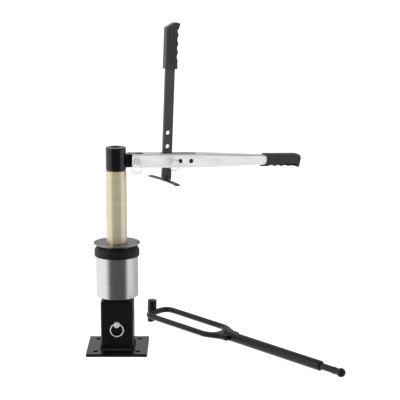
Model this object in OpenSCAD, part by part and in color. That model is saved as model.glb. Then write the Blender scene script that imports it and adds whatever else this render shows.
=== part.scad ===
// Portable bead breaker: a bolted-down post that a small wheel slides over, a swivelling head
// with a long lever, a vertical arm whose shoe pushes the tyre bead down, and a loose mounting
// bar that lies beside the post. +Z is up, +X points to the lever side, and the origin is the
// middle of the base plate's underside, on the post's axis.

/* [Base] */
// Side of the square base plate
plate_w = 165; // [150:1:200]
// Thickness of the base plate
plate_t = 8; // [6:0.5:12]
// Distance between neighbouring anchor bolt holes
bolt_pitch = 115; // [112:1:128]
// Diameter of the anchor bolt holes
bolt_hole_d = 15; // [10:0.5:16]
// Outside width of the square receiver tube
receiver_w = 88; // [84:1:92]
// Wall of the receiver tube
receiver_wall = 5; // [4:0.5:5]
// Height of the receiver's rim above the floor
receiver_top = 139; // [120:1:145]
// Gap between the receiver and the column, on each side
column_gap = 1; // [0.5:0.25:1.5]
// Wall of the square column tube
column_wall = 4; // [3:0.5:5]
// Height of the base pin's axis above the floor
base_pin_z = 80.5; // [60:0.5:90]

/* [Wheel seat] */
// Diameter of the drum
drum_d = 114; // [112:1:120]
// Height of the drum's open bottom edge
drum_bottom = 151.5; // [148:0.5:170]
// Height of the drum's closed top
drum_top = 263; // [250:1:268]
// Wall of the drum
drum_wall = 3; // [2:0.5:3]
// Diameter of the rubber ring
rubber_d = 122; // [116:1:126]
// Height of the rubber ring's top
rubber_top = 289; // [285:1:291]
// Diameter of the notched support disc
disc_d = 126; // [120:1:135]
// Thickness of the support disc
disc_t = 2.5; // [2:0.5:4]
// Height of the support disc's top
disc_top = 299; // [298:1:303]

/* [Post] */
// Diameter of the steel shaft
shaft_d = 20; // [18:0.5:22]
// Diameter of the nylon sleeve that centres the wheel
sleeve_d = 56.4; // [50:0.2:60]
// Height of the sleeve's top
sleeve_top = 496; // [480:1:500]
// Diameter of the swivelling collar
collar_d = 54.6; // [50:0.2:56]
// Height of the collar's top
collar_top = 560; // [550:1:570]

/* [Lever] */
// Direction of the lever, counter-clockwise from +X, in degrees
lever_yaw = 20; // [0:1:60]
// How far the lever droops below level at rest, in degrees
lever_droop = 3.2; // [0:0.1:6]
// Distance of the lever's pivot from the post's axis
pivot_s = 51; // [51:1:54]
// Height of the lever's pivot
pivot_z = 522; // [520:1:526]
// Width of the channel at its inner end
channel_w = 48; // [46:1:52]
// Height of the channel at its inner end
channel_h = 36; // [34:1:38]
// Width of the channel at the grip
channel_grip_w = 26; // [24:1:28]
// Height of the channel at the grip
channel_grip_h = 27; // [26:1:28]
// Wall of the pressed channel
channel_wall = 3; // [2:0.5:3]
// Distance from the pivot to the arm's first hole
arm_s = 93; // [92:1:98]
// Spacing of the arm holes along the lever
hole_pitch = 31; // [28:1:32]
// Distance from the pivot to where the channel starts to taper
taper_s = 189; // [182:1:195]
// Distance from the pivot to where the taper ends
taper_end_s = 368; // [360:1:375]
// Distance from the pivot to the outer end of the lever's grip
lever_grip_end = 486; // [484:1:492]

/* [Arm] */
// Width of the arm's flat bar
arm_w = 25.5; // [24:0.5:26]
// Thickness of the arm's flat bar
arm_t = 12; // [10:0.5:14]
// Lean of the arm away from square to the lever, in degrees
arm_tilt = -0.9; // [-3:0.1:3]
// Length of the arm below its pin
arm_below = 55; // [46:1:58]
// Spacing of the adjusting holes along the arm
arm_hole_pitch = 37; // [34:0.5:40]
// Distance from the arm's pin to the bottom of its grip
arm_grip_from = 247; // [240:1:250]
// Distance from the arm's pin to the top of its grip
arm_grip_to = 370; // [368:1:376]
// Length of the bead shoe, across the lever
shoe_l = 160; // [120:1:176]
// Width of the bead shoe's flat bar
shoe_w = 14; // [10:1:20]
// Thickness of the bead shoe
shoe_t = 4; // [3:0.5:6]
// Turn of the shoe about the arm, in degrees
shoe_turn = 10; // [0:1:12]

/* [Pins] */
// Diameter of the removable pins
pin_d = 12; // [11:0.5:12.5]
// Diameter of the pins' heads
pin_head_d = 16; // [15:0.5:17]
// Diameter of the ring wire
ring_wire_d = 3; // [2.5:0.25:3.25]

/* [Mounting bar] */
// Place of the bar's head on the floor, left to right
bar_x = 85; // [80:1:100]
// Place of the bar's head on the floor, front to back
bar_y = 256; // [240:1:280]
// Direction of the bar, clockwise from +X, in degrees
bar_yaw = 45; // [40:0.5:50]
// Height of the loop above the floor at the head
bar_head_z = 34; // [32:0.5:38]
// Length from the head to the ball
bar_l = 713; // [690:1:740]
// Distance between the loop's rails, centre to centre
rail_gap = 86; // [80:1:90]
// Diameter of the rod that the loop is bent from
rail_d = 15.9; // [12:0.1:16]
// Diameter of the bar's tube
bar_tube_d = 26.7; // [24:0.1:28]
// Diameter of the ball at the bar's end
bar_ball_d = 24; // [22:0.5:25]

/* [Hidden] */
$fn = 64;
through = 1;                     // how far a cutter runs past the face it opens

run_fit = 0.05;                  // radial clearance of a pin or shaft that turns in its bore
hole_d = pin_d + 2 * run_fit;

corner_r = 6;                    // outside corner radius of the square tubes
plate_corner_r = 3;
weld_leg = 5;
column_w = receiver_w - 2 * (receiver_wall + column_gap);

top_plate_t = 8;
drum_cap_t = 7;
column_top = drum_top - drum_cap_t;
spacer_d = 80;
rubber_bevel_w = 6.5;            // the ring narrows to its top edge
rubber_bevel_h = 9;
notch_w = 8;
notch_depth = 9;

washer_t = 3;
washer_d = 37;
nut_af = 30;                     // across flats
nut_t = 16;
thread_end = 6;                  // the shaft's end stands out below the nut
shaft_bottom = column_top - top_plate_t - washer_t - nut_t - thread_end;
shaft_recess = 6;                // the shaft ends this far below the collar's top
shaft_top = collar_top - shaft_recess;
bush_d = 30;
bush_flange_d = 46;
bush_flange_t = 2;
collar_edge = 2.5;

bracket_w = 22;
bracket_slot_w = 24;
boss_d = 28;
boss_w = 41;
bracket_root = 6;                // the bracket starts inside the collar and is cut to its face
channel_back = 13;               // how far the channel reaches behind the pivot
channel_in_grip = 102;           // how far the channel reaches into the grip
channel_end_s = taper_end_s + channel_in_grip;
end_slot_s = 25;
arm_slot_from = 72.5;
arm_slot_to = 177;
arm_slot_w = 18;

lever_grip_from = 368;
lever_grip_w = 31;
lever_grip_top = 16.5;
lever_grip_low = -18;
lever_finger_s = 29.5;             // from the grip's inner end to its first finger hollow
lever_finger_depth = 3;
lever_finger_pitch = 20.5;
mouth_d = 39.3;                  // the grip's hollow mouth
mouth_s = -5.65;                 // its centre lies ahead of the grip
mouth_z = 0.7;
heel_from = 470;                 // the grip's underside falls from here to its heel
heel_low = -21.7;
heel_back = 4;
arm_finger_pitch = 23;
finger_r = 16;
finger_count = 4;

arm_grip_left = -16;
arm_grip_right = 17;
arm_grip_t = 26;
arm_finger_s = 33;               // from the grip's lower end to its first finger hollow
arm_finger_depth = 2.5;
nose_l = 22;                     // the nose that keeps the hand from slipping off
nose_out = 4;
nose_flat = 10;
top_fall = 14;
arm_bar_top = arm_grip_to - 16;  // the flat bar ends inside the grip
shoe_bend_r = 420;
gusset_t = 5;
gusset_l = 14;
gusset_h = 14;

head_l = 12;
base_pin_past = 8;               // how far each pin's tip stands out at the back
lever_pin_past = 6;
ring_hole_d = 5;
small_ring_r = 14;
large_ring_r = 17.5;
small_ring_drop = 4;             // the lever pins' ring holes lie below the head's middle
large_ring_rise = 2;             // the base pin's ring hole lies above the head's middle
arm_ring_turn = 50;              // the arm pin is turned, so its ring hangs to one side

bar_tilt = asin((bar_head_z - bar_ball_d / 2) / bar_l);
rail_y = rail_gap / 2;
loop_end_x = 20;
loop_bend_r = 23;
loop_neck_x = 258;
neck_bend_r = 30;
weld_x = 306;
weld_l = 12;
weld_y = (bar_tube_d + rail_d) / 2;
neck_turn = atan2(rail_y - weld_y, weld_x - loop_neck_x);
neck_run = neck_bend_r * tan(neck_turn / 2);
bar_tube_from = 302;
bar_tube_to = 645;
bar_tube_wall = 2.5;
head_post_d = 26;
head_post_top = 31;
head_chamfer = 1.5;
head_toe_top = -9;
toe_rise = 10;
toe_slope = toe_rise / head_post_d;
toe_low = head_post_d / 2 * (norm([toe_slope, tan(bar_tilt)]) - toe_slope) - bar_head_z / cos(bar_tilt);
web_t = 6;                       // the plate that closes the crotch of the loop
web_deep_x = 273;
web_tip = 6;                     // the plate starts a little past the round's tangent point
end_rod_d = 17.5;

// ---- places ----

module at_head() rotate([0, 0, lever_yaw]) translate([pivot_s, 0, pivot_z]) children();

module at_lever() at_head() rotate([0, lever_droop, 0]) children();

module at_arm() at_lever() translate([arm_s, 0, 0]) rotate([0, arm_tilt, 0]) children();

module at_bar() {
  translate([bar_x, bar_y, bar_head_z])
    rotate([0, 0, -bar_yaw])
    rotate([0, bar_tilt, 0])
    children();
}

// ---- shapes that repeat ----

// A square with round corners
module round_square(w, r) {
  square([w - 2 * r, w], center = true);
  square([w, w - 2 * r], center = true);
  for (x = [-1, 1], y = [-1, 1])
    translate([x, y] * (w / 2 - r)) circle(r);
}

// A square tube standing on z = 0
module square_tube(w, wall, h, r) {
  linear_extrude(h) difference() {
    round_square(w, r);
    round_square(w - 2 * wall, max(r - wall, 1));
  }
}

// A cylinder along Y, centred
module rod_y(d, l) rotate([90, 0, 0]) cylinder(d = d, h = l, center = true);

// A cylinder along X, starting at x = 0
module rod_x(d, l) rotate([0, 90, 0]) cylinder(d = d, h = l);

// A removable pin: its head's back face is at y = 0, its shank runs to +Y
module pin(shank, ring_z) {
  chamfer = 1.2;
  flare_x = 10;
  flare_d = 11;
  difference() {
    union() {
      rotate([-90, 0, 0]) cylinder(d = pin_d, h = shank - 2 * chamfer);
      translate([0, shank - 2 * chamfer, 0])
        rotate([-90, 0, 0]) cylinder(d1 = pin_d, d2 = pin_d - 4 * chamfer, h = 2 * chamfer);
      rotate([90, 0, 0]) cylinder(d = pin_head_d, h = head_l - chamfer);
      translate([0, chamfer - head_l, 0])
        rotate([90, 0, 0]) cylinder(d1 = pin_head_d, d2 = pin_head_d - 2 * chamfer, h = chamfer);
    }
    // the ring's cross hole, flared so that the ring can swing
    translate([0, -head_l / 2, ring_z]) {
      rotate([0, 90, 0]) cylinder(d = ring_hole_d, h = 2 * flare_x, center = true);
      for (side = [-1, 1])
        rotate([0, side * 90, 0]) cylinder(d1 = 0, d2 = flare_d, h = flare_x);
    }
  }
}

// A pull ring that hangs from the hole at the origin
module pull_ring(r) {
  translate([0, 0, -r])
    rotate([90, 0, 0])
    rotate_extrude() translate([r, 0]) circle(d = ring_wire_d, $fn = 32);
}

// Points on an arc round a centre, from one angle to another
function arc(centre, r, from, to, steps) =
  [for (i = [0:steps]) let (a = from + (to - from) * i / steps) centre + r * [cos(a), sin(a)]];

// The row of finger hollows along X, cut into an edge at height z
module finger_hollows(from, pitch, z, w) {
  for (i = [0:finger_count - 1])
    translate([from + i * pitch, 0, z]) rod_y(2 * finger_r, w);
}

// ---- base ----

module base_plate() color("#202022") difference() {
  linear_extrude(plate_t) round_square(plate_w, plate_corner_r);
  for (x = [-1, 1], y = [-1, 1])
    translate([x * bolt_pitch / 2, y * bolt_pitch / 2, -through])
      cylinder(d = bolt_hole_d, h = plate_t + 2 * through);
}

module receiver_tube() color("#1c1c1e") difference() {
  translate([0, 0, plate_t]) square_tube(receiver_w, receiver_wall, receiver_top - plate_t, corner_r);
  translate([0, 0, base_pin_z]) rod_y(hole_d, receiver_w + 2 * through);
}

module receiver_weld() color("#2a2a2c") translate([0, 0, plate_t]) {
  straight = receiver_w - 2 * corner_r;
  for (turn = [0:90:270]) rotate([0, 0, turn]) {
    translate([receiver_w / 2, straight / 2, 0])
      rotate([90, 0, 0]) linear_extrude(straight)
      polygon([[0, 0], [weld_leg, 0], [0, weld_leg]]);
    translate([straight / 2, straight / 2, 0])
      rotate_extrude(angle = 90)
      translate([corner_r, 0]) polygon([[0, 0], [weld_leg, 0], [0, weld_leg]]);
  }
}

module column_tube() color("#2b2b2d") difference() {
  translate([0, 0, plate_t]) square_tube(column_w, column_wall, column_top - plate_t, corner_r);
  translate([0, 0, base_pin_z]) rod_y(hole_d, column_w + 2 * through);
}

module column_top_plate() color("#2b2b2d") difference() {
  translate([0, 0, column_top - top_plate_t])
    linear_extrude(top_plate_t) round_square(column_w - 2 * column_wall, corner_r - column_wall);
  translate([0, 0, column_top - top_plate_t - through])
    cylinder(d = shaft_d, h = top_plate_t + 2 * through);
}

// ---- wheel seat ----

module drum() color("#c9cbcd") difference() {
  translate([0, 0, drum_bottom]) cylinder(d = drum_d, h = drum_top - drum_bottom);
  translate([0, 0, drum_bottom - through])
    cylinder(d = drum_d - 2 * drum_wall, h = column_top - drum_bottom + through);
  translate([0, 0, column_top - through]) cylinder(d = shaft_d, h = drum_cap_t + 2 * through);
}

module ring_spacer() color("#8f9194") difference() {
  translate([0, 0, drum_top]) cylinder(d = spacer_d, h = disc_top - disc_t - drum_top);
  translate([0, 0, drum_top - through])
    cylinder(d = shaft_d, h = disc_top - drum_top + 2 * through);
}

module rubber_ring() color("#18181a") {
  rotate_extrude() polygon([
    [spacer_d / 2, drum_top], [rubber_d / 2, drum_top],
    [rubber_d / 2, rubber_top - rubber_bevel_h],
    [rubber_d / 2 - rubber_bevel_w, rubber_top], [spacer_d / 2, rubber_top]
  ]);
}

module support_disc() color("#a7a9ab") difference() {
  translate([0, 0, disc_top - disc_t]) cylinder(d = disc_d, h = disc_t);
  translate([0, 0, disc_top - disc_t - through]) cylinder(d = shaft_d, h = disc_t + 2 * through);
  for (turn = [0, 180]) rotate([0, 0, turn])
    translate([disc_d / 2 - notch_depth, 0, disc_top - disc_t - through]) {
      cylinder(d = notch_w, h = disc_t + 2 * through);
      translate([0, -notch_w / 2, 0]) cube([notch_depth + through, notch_w, disc_t + 2 * through]);
    }
}

// ---- post ----

module centre_shaft() color("#b9bbbd") {
  chamfer = 1.5;
  translate([0, 0, shaft_bottom]) cylinder(d = shaft_d, h = shaft_top - shaft_bottom - chamfer);
  translate([0, 0, shaft_top - chamfer])
    cylinder(d1 = shaft_d, d2 = shaft_d - 2 * chamfer, h = chamfer);
}

module shaft_washer() color("#a7a9ab") difference() {
  translate([0, 0, column_top - top_plate_t - washer_t]) cylinder(d = washer_d, h = washer_t);
  translate([0, 0, column_top - top_plate_t - washer_t - through])
    cylinder(d = shaft_d, h = washer_t + 2 * through);
}

module shaft_nut() color("#a7a9ab") {
  nut_z = column_top - top_plate_t - washer_t - nut_t;
  difference() {
    translate([0, 0, nut_z]) cylinder(d = nut_af / cos(30), h = nut_t, $fn = 6);
    translate([0, 0, nut_z - through]) cylinder(d = shaft_d, h = nut_t + 2 * through);
  }
}

module centre_sleeve() color("#e6e1cc") difference() {
  translate([0, 0, disc_top]) cylinder(d = sleeve_d, h = sleeve_top - disc_top);
  translate([0, 0, disc_top - through])
    cylinder(d = shaft_d, h = sleeve_top - disc_top + 2 * through);
}

// ---- swivelling head ----

module head_bush() color("#b08d57") difference() {
  union() {
    translate([0, 0, sleeve_top]) cylinder(d = bush_flange_d, h = bush_flange_t);
    translate([0, 0, sleeve_top + bush_flange_t])
      cylinder(d = bush_d, h = collar_top - sleeve_top - bush_flange_t - collar_edge);
  }
  translate([0, 0, sleeve_top - through])
    cylinder(d = shaft_d + 2 * run_fit, h = collar_top - sleeve_top + 2 * through);
}

module collar() color("#0e0e10") {
  body_z = sleeve_top + bush_flange_t;
  bore_d = bush_d + 2 * run_fit;
  rotate_extrude() polygon([
    [bore_d / 2, body_z], [collar_d / 2 - collar_edge, body_z],
    [collar_d / 2, body_z + collar_edge], [collar_d / 2, collar_top - collar_edge],
    [collar_d / 2 - collar_edge, collar_top], [bore_d / 2, collar_top]
  ]);
}

module lever_bracket() color("#141416") difference() {
  at_head() {
    translate([-pivot_s / 2 - bracket_root, -bracket_w / 2, -channel_h / 2])
      cube([pivot_s / 2 + bracket_root, bracket_w, channel_h]);
    rod_y(channel_h, bracket_w);
    rod_y(boss_d, boss_w);
  }
  translate([0, 0, sleeve_top]) cylinder(d = collar_d, h = collar_top - sleeve_top);
  at_head() rod_y(hole_d, boss_w + 2 * through);
}

// ---- lever ----

// The channel's outline seen from the front
module channel_side() {
  h = channel_h / 2;
  grip_h = channel_grip_h / 2;
  polygon([
    [-channel_back, -h], [taper_s, -h], [taper_end_s, -grip_h], [channel_end_s, -grip_h],
    [channel_end_s, grip_h], [taper_end_s, grip_h], [taper_s, h], [-channel_back, h]
  ]);
}

// The channel's outline seen from above
module channel_plan() {
  w = channel_w / 2;
  grip_w = channel_grip_w / 2;
  polygon([
    [-channel_back, -w], [taper_s, -w], [taper_end_s, -grip_w], [channel_end_s, -grip_w],
    [channel_end_s, grip_w], [taper_end_s, grip_w], [taper_s, w], [-channel_back, w]
  ]);
}

module channel_solid() intersection() {
  rotate([90, 0, 0]) linear_extrude(2 * channel_w, center = true) channel_side();
  linear_extrude(2 * channel_h, center = true) channel_plan();
}

// The hollow of the channel, open at the bottom and at both ends
module channel_hollow() {
  drop = channel_h;
  intersection() {
    rotate([90, 0, 0]) linear_extrude(2 * channel_w, center = true) {
      h = channel_h / 2 - channel_wall;
      grip_h = channel_grip_h / 2 - channel_wall;
      polygon([
        [-channel_back - through, -drop], [channel_end_s + through, -drop],
        [channel_end_s + through, grip_h], [taper_end_s, grip_h],
        [taper_s, h], [-channel_back - through, h]
      ]);
    }
    translate([0, 0, -drop]) linear_extrude(2 * drop) {
      w = channel_w / 2 - channel_wall;
      grip_w = channel_grip_w / 2 - channel_wall;
      polygon([
        [-channel_back - through, -w], [taper_s, -w], [taper_end_s, -grip_w],
        [channel_end_s + through, -grip_w], [channel_end_s + through, grip_w],
        [taper_end_s, grip_w], [taper_s, w], [-channel_back - through, w]
      ]);
    }
  }
}

module lever_channel() color("#d5d7d9") at_lever() difference() {
  channel_solid();
  channel_hollow();
  // the bracket's slot, open at the inner end
  translate([-channel_back - through, -bracket_slot_w / 2, 0])
    cube([channel_back + through + end_slot_s, bracket_slot_w, channel_h]);
  // the arm's slot, with round ends
  for (x = [arm_slot_from + arm_slot_w / 2, arm_slot_to - arm_slot_w / 2])
    translate([x, 0, 0]) cylinder(d = arm_slot_w, h = channel_h);
  translate([arm_slot_from + arm_slot_w / 2, -arm_slot_w / 2, 0])
    cube([arm_slot_to - arm_slot_from - arm_slot_w, arm_slot_w, channel_h]);
  for (x = [0, arm_s, arm_s + hole_pitch, arm_s + 2 * hole_pitch])
    translate([x, 0, 0]) rod_y(hole_d, channel_w + 2 * through);
}

module lever_grip() color("#1b1b1d") at_lever() difference() {
  rotate([90, 0, 0]) linear_extrude(lever_grip_w, center = true) {
    end_r = 12;
    heel_r = 4;
    polygon(concat(
      [[lever_grip_from, lever_grip_low], [heel_from, lever_grip_low]],
      arc([lever_grip_end - heel_back - heel_r, heel_low + heel_r], heel_r, -90, -10, 6),
      arc([lever_grip_end - end_r, lever_grip_top - end_r], end_r, -10, 90, 10),
      [[lever_grip_from, lever_grip_top]]
    ));
  }
  finger_hollows(lever_grip_from + lever_finger_s, lever_finger_pitch,
                 lever_grip_low + lever_finger_depth - finger_r, lever_grip_w + 2 * through);
  // the hollow mouth where the channel enters
  translate([lever_grip_from + mouth_s, 0, mouth_z]) rod_y(mouth_d, lever_grip_w + 2 * through);
  translate([lever_grip_from - through, -channel_grip_w / 2, -channel_grip_h / 2])
    cube([channel_end_s - lever_grip_from + through, channel_grip_w, channel_grip_h]);
  channel_solid();
}

// ---- arm ----

module breaker_arm() color("#2c2c2e") at_arm() difference() {
  translate([-arm_w / 2, -arm_t / 2, -arm_below])
    cube([arm_w, arm_t, arm_below + arm_bar_top]);
  for (i = [0:2])
    translate([0, 0, i * arm_hole_pitch]) rod_y(hole_d, arm_t + 2 * through);
}

module arm_grip() color("#303032") at_arm() difference() {
  rotate([90, 0, 0]) linear_extrude(arm_grip_t, center = true) {
    polygon([
      [arm_grip_left, arm_grip_from], [arm_grip_right, arm_grip_from],
      [arm_grip_right, arm_grip_to - nose_l], [arm_grip_right + nose_out, arm_grip_to - nose_out],
      [arm_grip_right + nose_out / 2, arm_grip_to], [arm_grip_right - nose_flat, arm_grip_to],
      [arm_grip_left, arm_grip_to - top_fall]
    ]);
  }
  rotate([0, -90, 0])
    finger_hollows(arm_grip_from + arm_finger_s, arm_finger_pitch,
                   arm_finger_depth - finger_r - arm_grip_right, arm_grip_t + 2 * through);
  translate([-arm_w / 2, -arm_t / 2, arm_grip_from - through])
    cube([arm_w, arm_t, arm_bar_top - arm_grip_from + through]);
}

// A flat bar under the arm's end, bent gently round the wheel's axis
module bead_shoe() color("#28282a")
  at_arm() rotate([0, 0, shoe_turn]) translate([0, 0, -arm_below - shoe_t]) intersection() {
    translate([-shoe_bend_r, 0, 0]) difference() {
      cylinder(r = shoe_bend_r + shoe_w / 2, h = shoe_t);
      translate([0, 0, -through]) cylinder(r = shoe_bend_r - shoe_w / 2, h = shoe_t + 2 * through);
    }
    translate([-2 * shoe_w, -shoe_l / 2, 0]) cube([4 * shoe_w, shoe_l, shoe_t]);
  }

// One rib on each face of the arm, standing on the shoe
module shoe_gussets() color("#28282a") at_arm() for (side = [-1, 1])
  translate([0, 0, -arm_below]) rotate([90, 0, 90]) linear_extrude(gusset_t, center = true)
    polygon([[side * arm_t / 2, 0], [side * (arm_t / 2 + gusset_l), 0], [side * arm_t / 2, gusset_h]]);

// ---- pins ----

module base_pin() color("#c4c6c8")
  translate([0, -receiver_w / 2, base_pin_z]) pin(receiver_w + base_pin_past, large_ring_rise);

module base_pin_ring() color("#c4c6c8")
  translate([0, -receiver_w / 2 - head_l / 2, base_pin_z + large_ring_rise])
  pull_ring(large_ring_r);

module pivot_pin() color("#c4c6c8") at_lever()
  translate([0, -channel_w / 2, 0]) pin(channel_w + lever_pin_past, -small_ring_drop);

module pivot_pin_ring() color("#c4c6c8") at_lever()
  translate([0, -channel_w / 2 - head_l / 2, -small_ring_drop]) pull_ring(small_ring_r);

module at_arm_pin() at_lever()
  translate([arm_s, -channel_w / 2, 0]) rotate([0, -arm_ring_turn, 0]) children();

module arm_pin() color("#c4c6c8") at_arm_pin() pin(channel_w + lever_pin_past, -small_ring_drop);

module arm_pin_ring() color("#c4c6c8") at_arm_pin()
  translate([0, -head_l / 2, -small_ring_drop]) pull_ring(small_ring_r);

// ---- mounting bar ----

// The same path mirrored in X's axis and run backwards
function mirrored(path) =
  [for (i = [len(path) - 1:-1:0]) [path[i][0], -path[i][1]]];

// Direction of a path at one of its points
function heading(path, i) =
  let (a = path[max(i - 1, 0)], b = path[min(i + 1, len(path) - 1)]) atan2(b[1] - a[1], b[0] - a[0]);

// A round rod bent along a flat path of points
module bent_rod(path, d, sides) {
  rings = len(path);
  points = [
    for (i = [0:rings - 1], k = [0:sides - 1])
      let (h = heading(path, i), a = 360 * k / sides, out = d / 2 * cos(a))
      [path[i][0] - out * sin(h), path[i][1] + out * cos(h), d / 2 * sin(a)]
  ];
  walls = [
    for (i = [0:rings - 2], k = [0:sides - 1])
      let (n = (k + 1) % sides)
      [i * sides + k, (i + 1) * sides + k, (i + 1) * sides + n, i * sides + n]
  ];
  ends = [
    [for (k = [0:sides - 1]) k],
    [for (k = [sides - 1:-1:0]) (rings - 1) * sides + k]
  ];
  polyhedron(points, concat(walls, ends));
}

module bar_loop() color("#232325") at_bar() {
  half = concat(
    [[weld_x + neck_run + weld_l, weld_y]],
    arc([weld_x + neck_run, weld_y + neck_bend_r], neck_bend_r, 270, 270 - neck_turn, 4),
    arc([loop_neck_x - neck_run, rail_y - neck_bend_r], neck_bend_r, 90 - neck_turn, 90, 4),
    arc([loop_end_x + loop_bend_r, rail_y - loop_bend_r], loop_bend_r, 90, 180, 10)
  );
  bent_rod(concat(half, mirrored(half)), rail_d, 24);
}

// The plate between the rails, cut round where the loop ends
module bar_web() color("#232325") at_bar() difference() {
  inner = rail_y - rail_d / 2;
  clear = 0.15;                  // room for the weld between the plate and the rails
  bend = arc([loop_neck_x - neck_run, rail_y - neck_bend_r], neck_bend_r - rail_d / 2 - clear, 90,
             90 - neck_turn, 4);
  root = bend[4] + (bar_tube_from - bend[4][0]) * [1, -tan(neck_turn)];
  half = concat([[web_deep_x - inner + web_tip, inner - clear]], bend, [root]);
  linear_extrude(web_t, center = true) polygon(concat(half, mirrored(half)));
  translate([web_deep_x - inner, 0, -web_t]) cylinder(r = inner, h = 2 * web_t);
}

module bar_tube() color("#1f1f21") at_bar() difference() {
  translate([bar_tube_from, 0, 0]) rod_x(bar_tube_d, bar_tube_to - bar_tube_from);
  translate([bar_tube_from - through, 0, 0])
    rod_x(bar_tube_d - 2 * bar_tube_wall, bar_tube_to - bar_tube_from + 2 * through);
}

module bar_head_post() color("#18181a") at_bar() difference() {
  union() {
    translate([0, 0, head_toe_top])
      cylinder(d = head_post_d, h = head_post_top - head_toe_top - head_chamfer);
    translate([0, 0, head_post_top - head_chamfer])
      cylinder(d1 = head_post_d, d2 = head_post_d - 2 * head_chamfer, h = head_chamfer);
  }
  translate([loop_end_x, 0, 0]) rod_y(rail_d, rail_gap);
}

module bar_head_toe() color("#18181a") at_bar() difference() {
  translate([0, 0, toe_low]) cylinder(d = head_post_d, h = head_toe_top - toe_low);
  // the toe's sloping underside, lowest at one side
  translate([0, -head_post_d / 2, toe_low])
    rotate([atan(toe_slope), 0, 0])
    translate([-head_post_d, 0, -2 * toe_rise])
    cube([2 * head_post_d, 2 * head_post_d, 2 * toe_rise]);
}

module bar_end() color("#18181a") at_bar() {
  translate([bar_tube_to, 0, 0]) rod_x(end_rod_d, bar_l - bar_tube_to);
  translate([bar_l, 0, 0]) sphere(d = bar_ball_d);
}

base_plate();
receiver_tube();
receiver_weld();
column_tube();
column_top_plate();
drum();
rubber_ring();
ring_spacer();
support_disc();
centre_shaft();
shaft_washer();
shaft_nut();
centre_sleeve();
head_bush();
collar();
lever_bracket();
lever_channel();
lever_grip();
breaker_arm();
arm_grip();
bead_shoe();
shoe_gussets();
base_pin();
base_pin_ring();
pivot_pin();
pivot_pin_ring();
arm_pin();
arm_pin_ring();
bar_loop();
bar_web();
bar_tube();
bar_head_post();
bar_head_toe();
bar_end();
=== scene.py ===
# %% [markdown]
# # A portable bead breaker, finished in Blender
#
# The object is a workshop tool. A post stands on a bolted plate, a small wheel slides down over
# its nylon sleeve, and a long lever drives an arm with a shoe down on the tyre's bead. A loose
# mounting bar lies beside it. The measured model comes first and stays as it is: it fixes every
# size and every joint. This lesson dresses it, piece by piece, with rounded edges, welds and
# finishes, and hides a plain solid only where a finished piece takes its place.

# %% The tools and the measured model
from math import asin, atan2, cos, degrees, pi, radians, sin, sqrt, tan

import bmesh
import bpy
from mathutils import Matrix, Vector


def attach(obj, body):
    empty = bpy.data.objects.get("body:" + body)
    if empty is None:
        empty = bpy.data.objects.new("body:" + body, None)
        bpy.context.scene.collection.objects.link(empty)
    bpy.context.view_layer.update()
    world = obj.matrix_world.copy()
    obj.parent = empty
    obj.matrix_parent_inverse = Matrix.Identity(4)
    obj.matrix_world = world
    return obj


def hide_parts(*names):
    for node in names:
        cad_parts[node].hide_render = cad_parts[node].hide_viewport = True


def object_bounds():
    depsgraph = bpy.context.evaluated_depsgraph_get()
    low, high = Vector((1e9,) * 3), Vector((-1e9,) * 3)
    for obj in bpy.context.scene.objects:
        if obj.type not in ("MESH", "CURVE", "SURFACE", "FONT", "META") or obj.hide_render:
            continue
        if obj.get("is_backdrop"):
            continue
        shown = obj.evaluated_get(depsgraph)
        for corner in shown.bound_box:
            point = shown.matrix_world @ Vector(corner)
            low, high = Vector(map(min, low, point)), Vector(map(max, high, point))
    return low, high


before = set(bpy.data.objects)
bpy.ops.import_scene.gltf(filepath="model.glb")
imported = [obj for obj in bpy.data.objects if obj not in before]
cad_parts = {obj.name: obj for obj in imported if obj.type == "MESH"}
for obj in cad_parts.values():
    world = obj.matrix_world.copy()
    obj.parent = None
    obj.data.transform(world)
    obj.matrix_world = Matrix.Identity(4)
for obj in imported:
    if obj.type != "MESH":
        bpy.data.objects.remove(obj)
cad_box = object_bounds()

scene = bpy.context.scene
print("measured box", [tuple(round(c, 3) for c in corner) for corner in cad_box])

# %% [markdown]
# ## The camera
# A long lens keeps the post's sides nearly upright, as in a catalogue picture. The camera stands
# about 3.7 m away and a little above the object, so that the tops of the plate, the disc and the
# lever just show. It could be aimed with a constraint, but two plain numbers are easier to read.

# %% Camera
camera_data = bpy.data.cameras.new("catalogue_camera")
camera_data.sensor_width = 36
camera_data.lens = 126.2
camera_data.clip_end = 100
camera = bpy.data.objects.new("catalogue_camera", camera_data)
camera.location = (0.2253, -3.6988, 1.1769)
camera_pitch = 0.2031
camera.rotation_euler = (pi / 2 - camera_pitch, 0, 0)
scene.collection.objects.link(camera)
scene.camera = camera
scene.view_settings.view_transform = "Standard"
print("camera looks down by", round(degrees(camera_pitch), 1), "degrees")

# %% [markdown]
# ## The studio
# Bare metal has hardly any colour of its own: it shows the room. A turned drum looks round
# because bright walls stand at its left and right, and the side the camera is on is dark. That
# room is painted straight into the world, by compass direction, which gives no noise and no
# furniture to hide. The camera itself sees plain white. A soft lamp overhead lights the floor.

# %% World
WALLS = [  # compass direction in degrees, 0 towards the camera, and how bright the wall is there
    (-180, 0.6), (-150, 0.92), (-100, 1.0), (-60, 0.95), (-37, 0.09), (50, 0.085), (66, 0.88), (82, 0.8),
    (120, 0.5), (180, 0.45)
]
WALL_STRENGTH = 1.15
CEILING = 0.3

world = bpy.data.worlds.new("studio")
scene.world = world
world.use_nodes = True
sky = world.node_tree
sky.nodes.clear()


def sky_node(kind, **settings):
    """A node of the world's tree, with its settings."""
    node = sky.nodes.new("ShaderNode" + kind)
    for key, value in settings.items():
        setattr(node, key, value)
    return node


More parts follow.
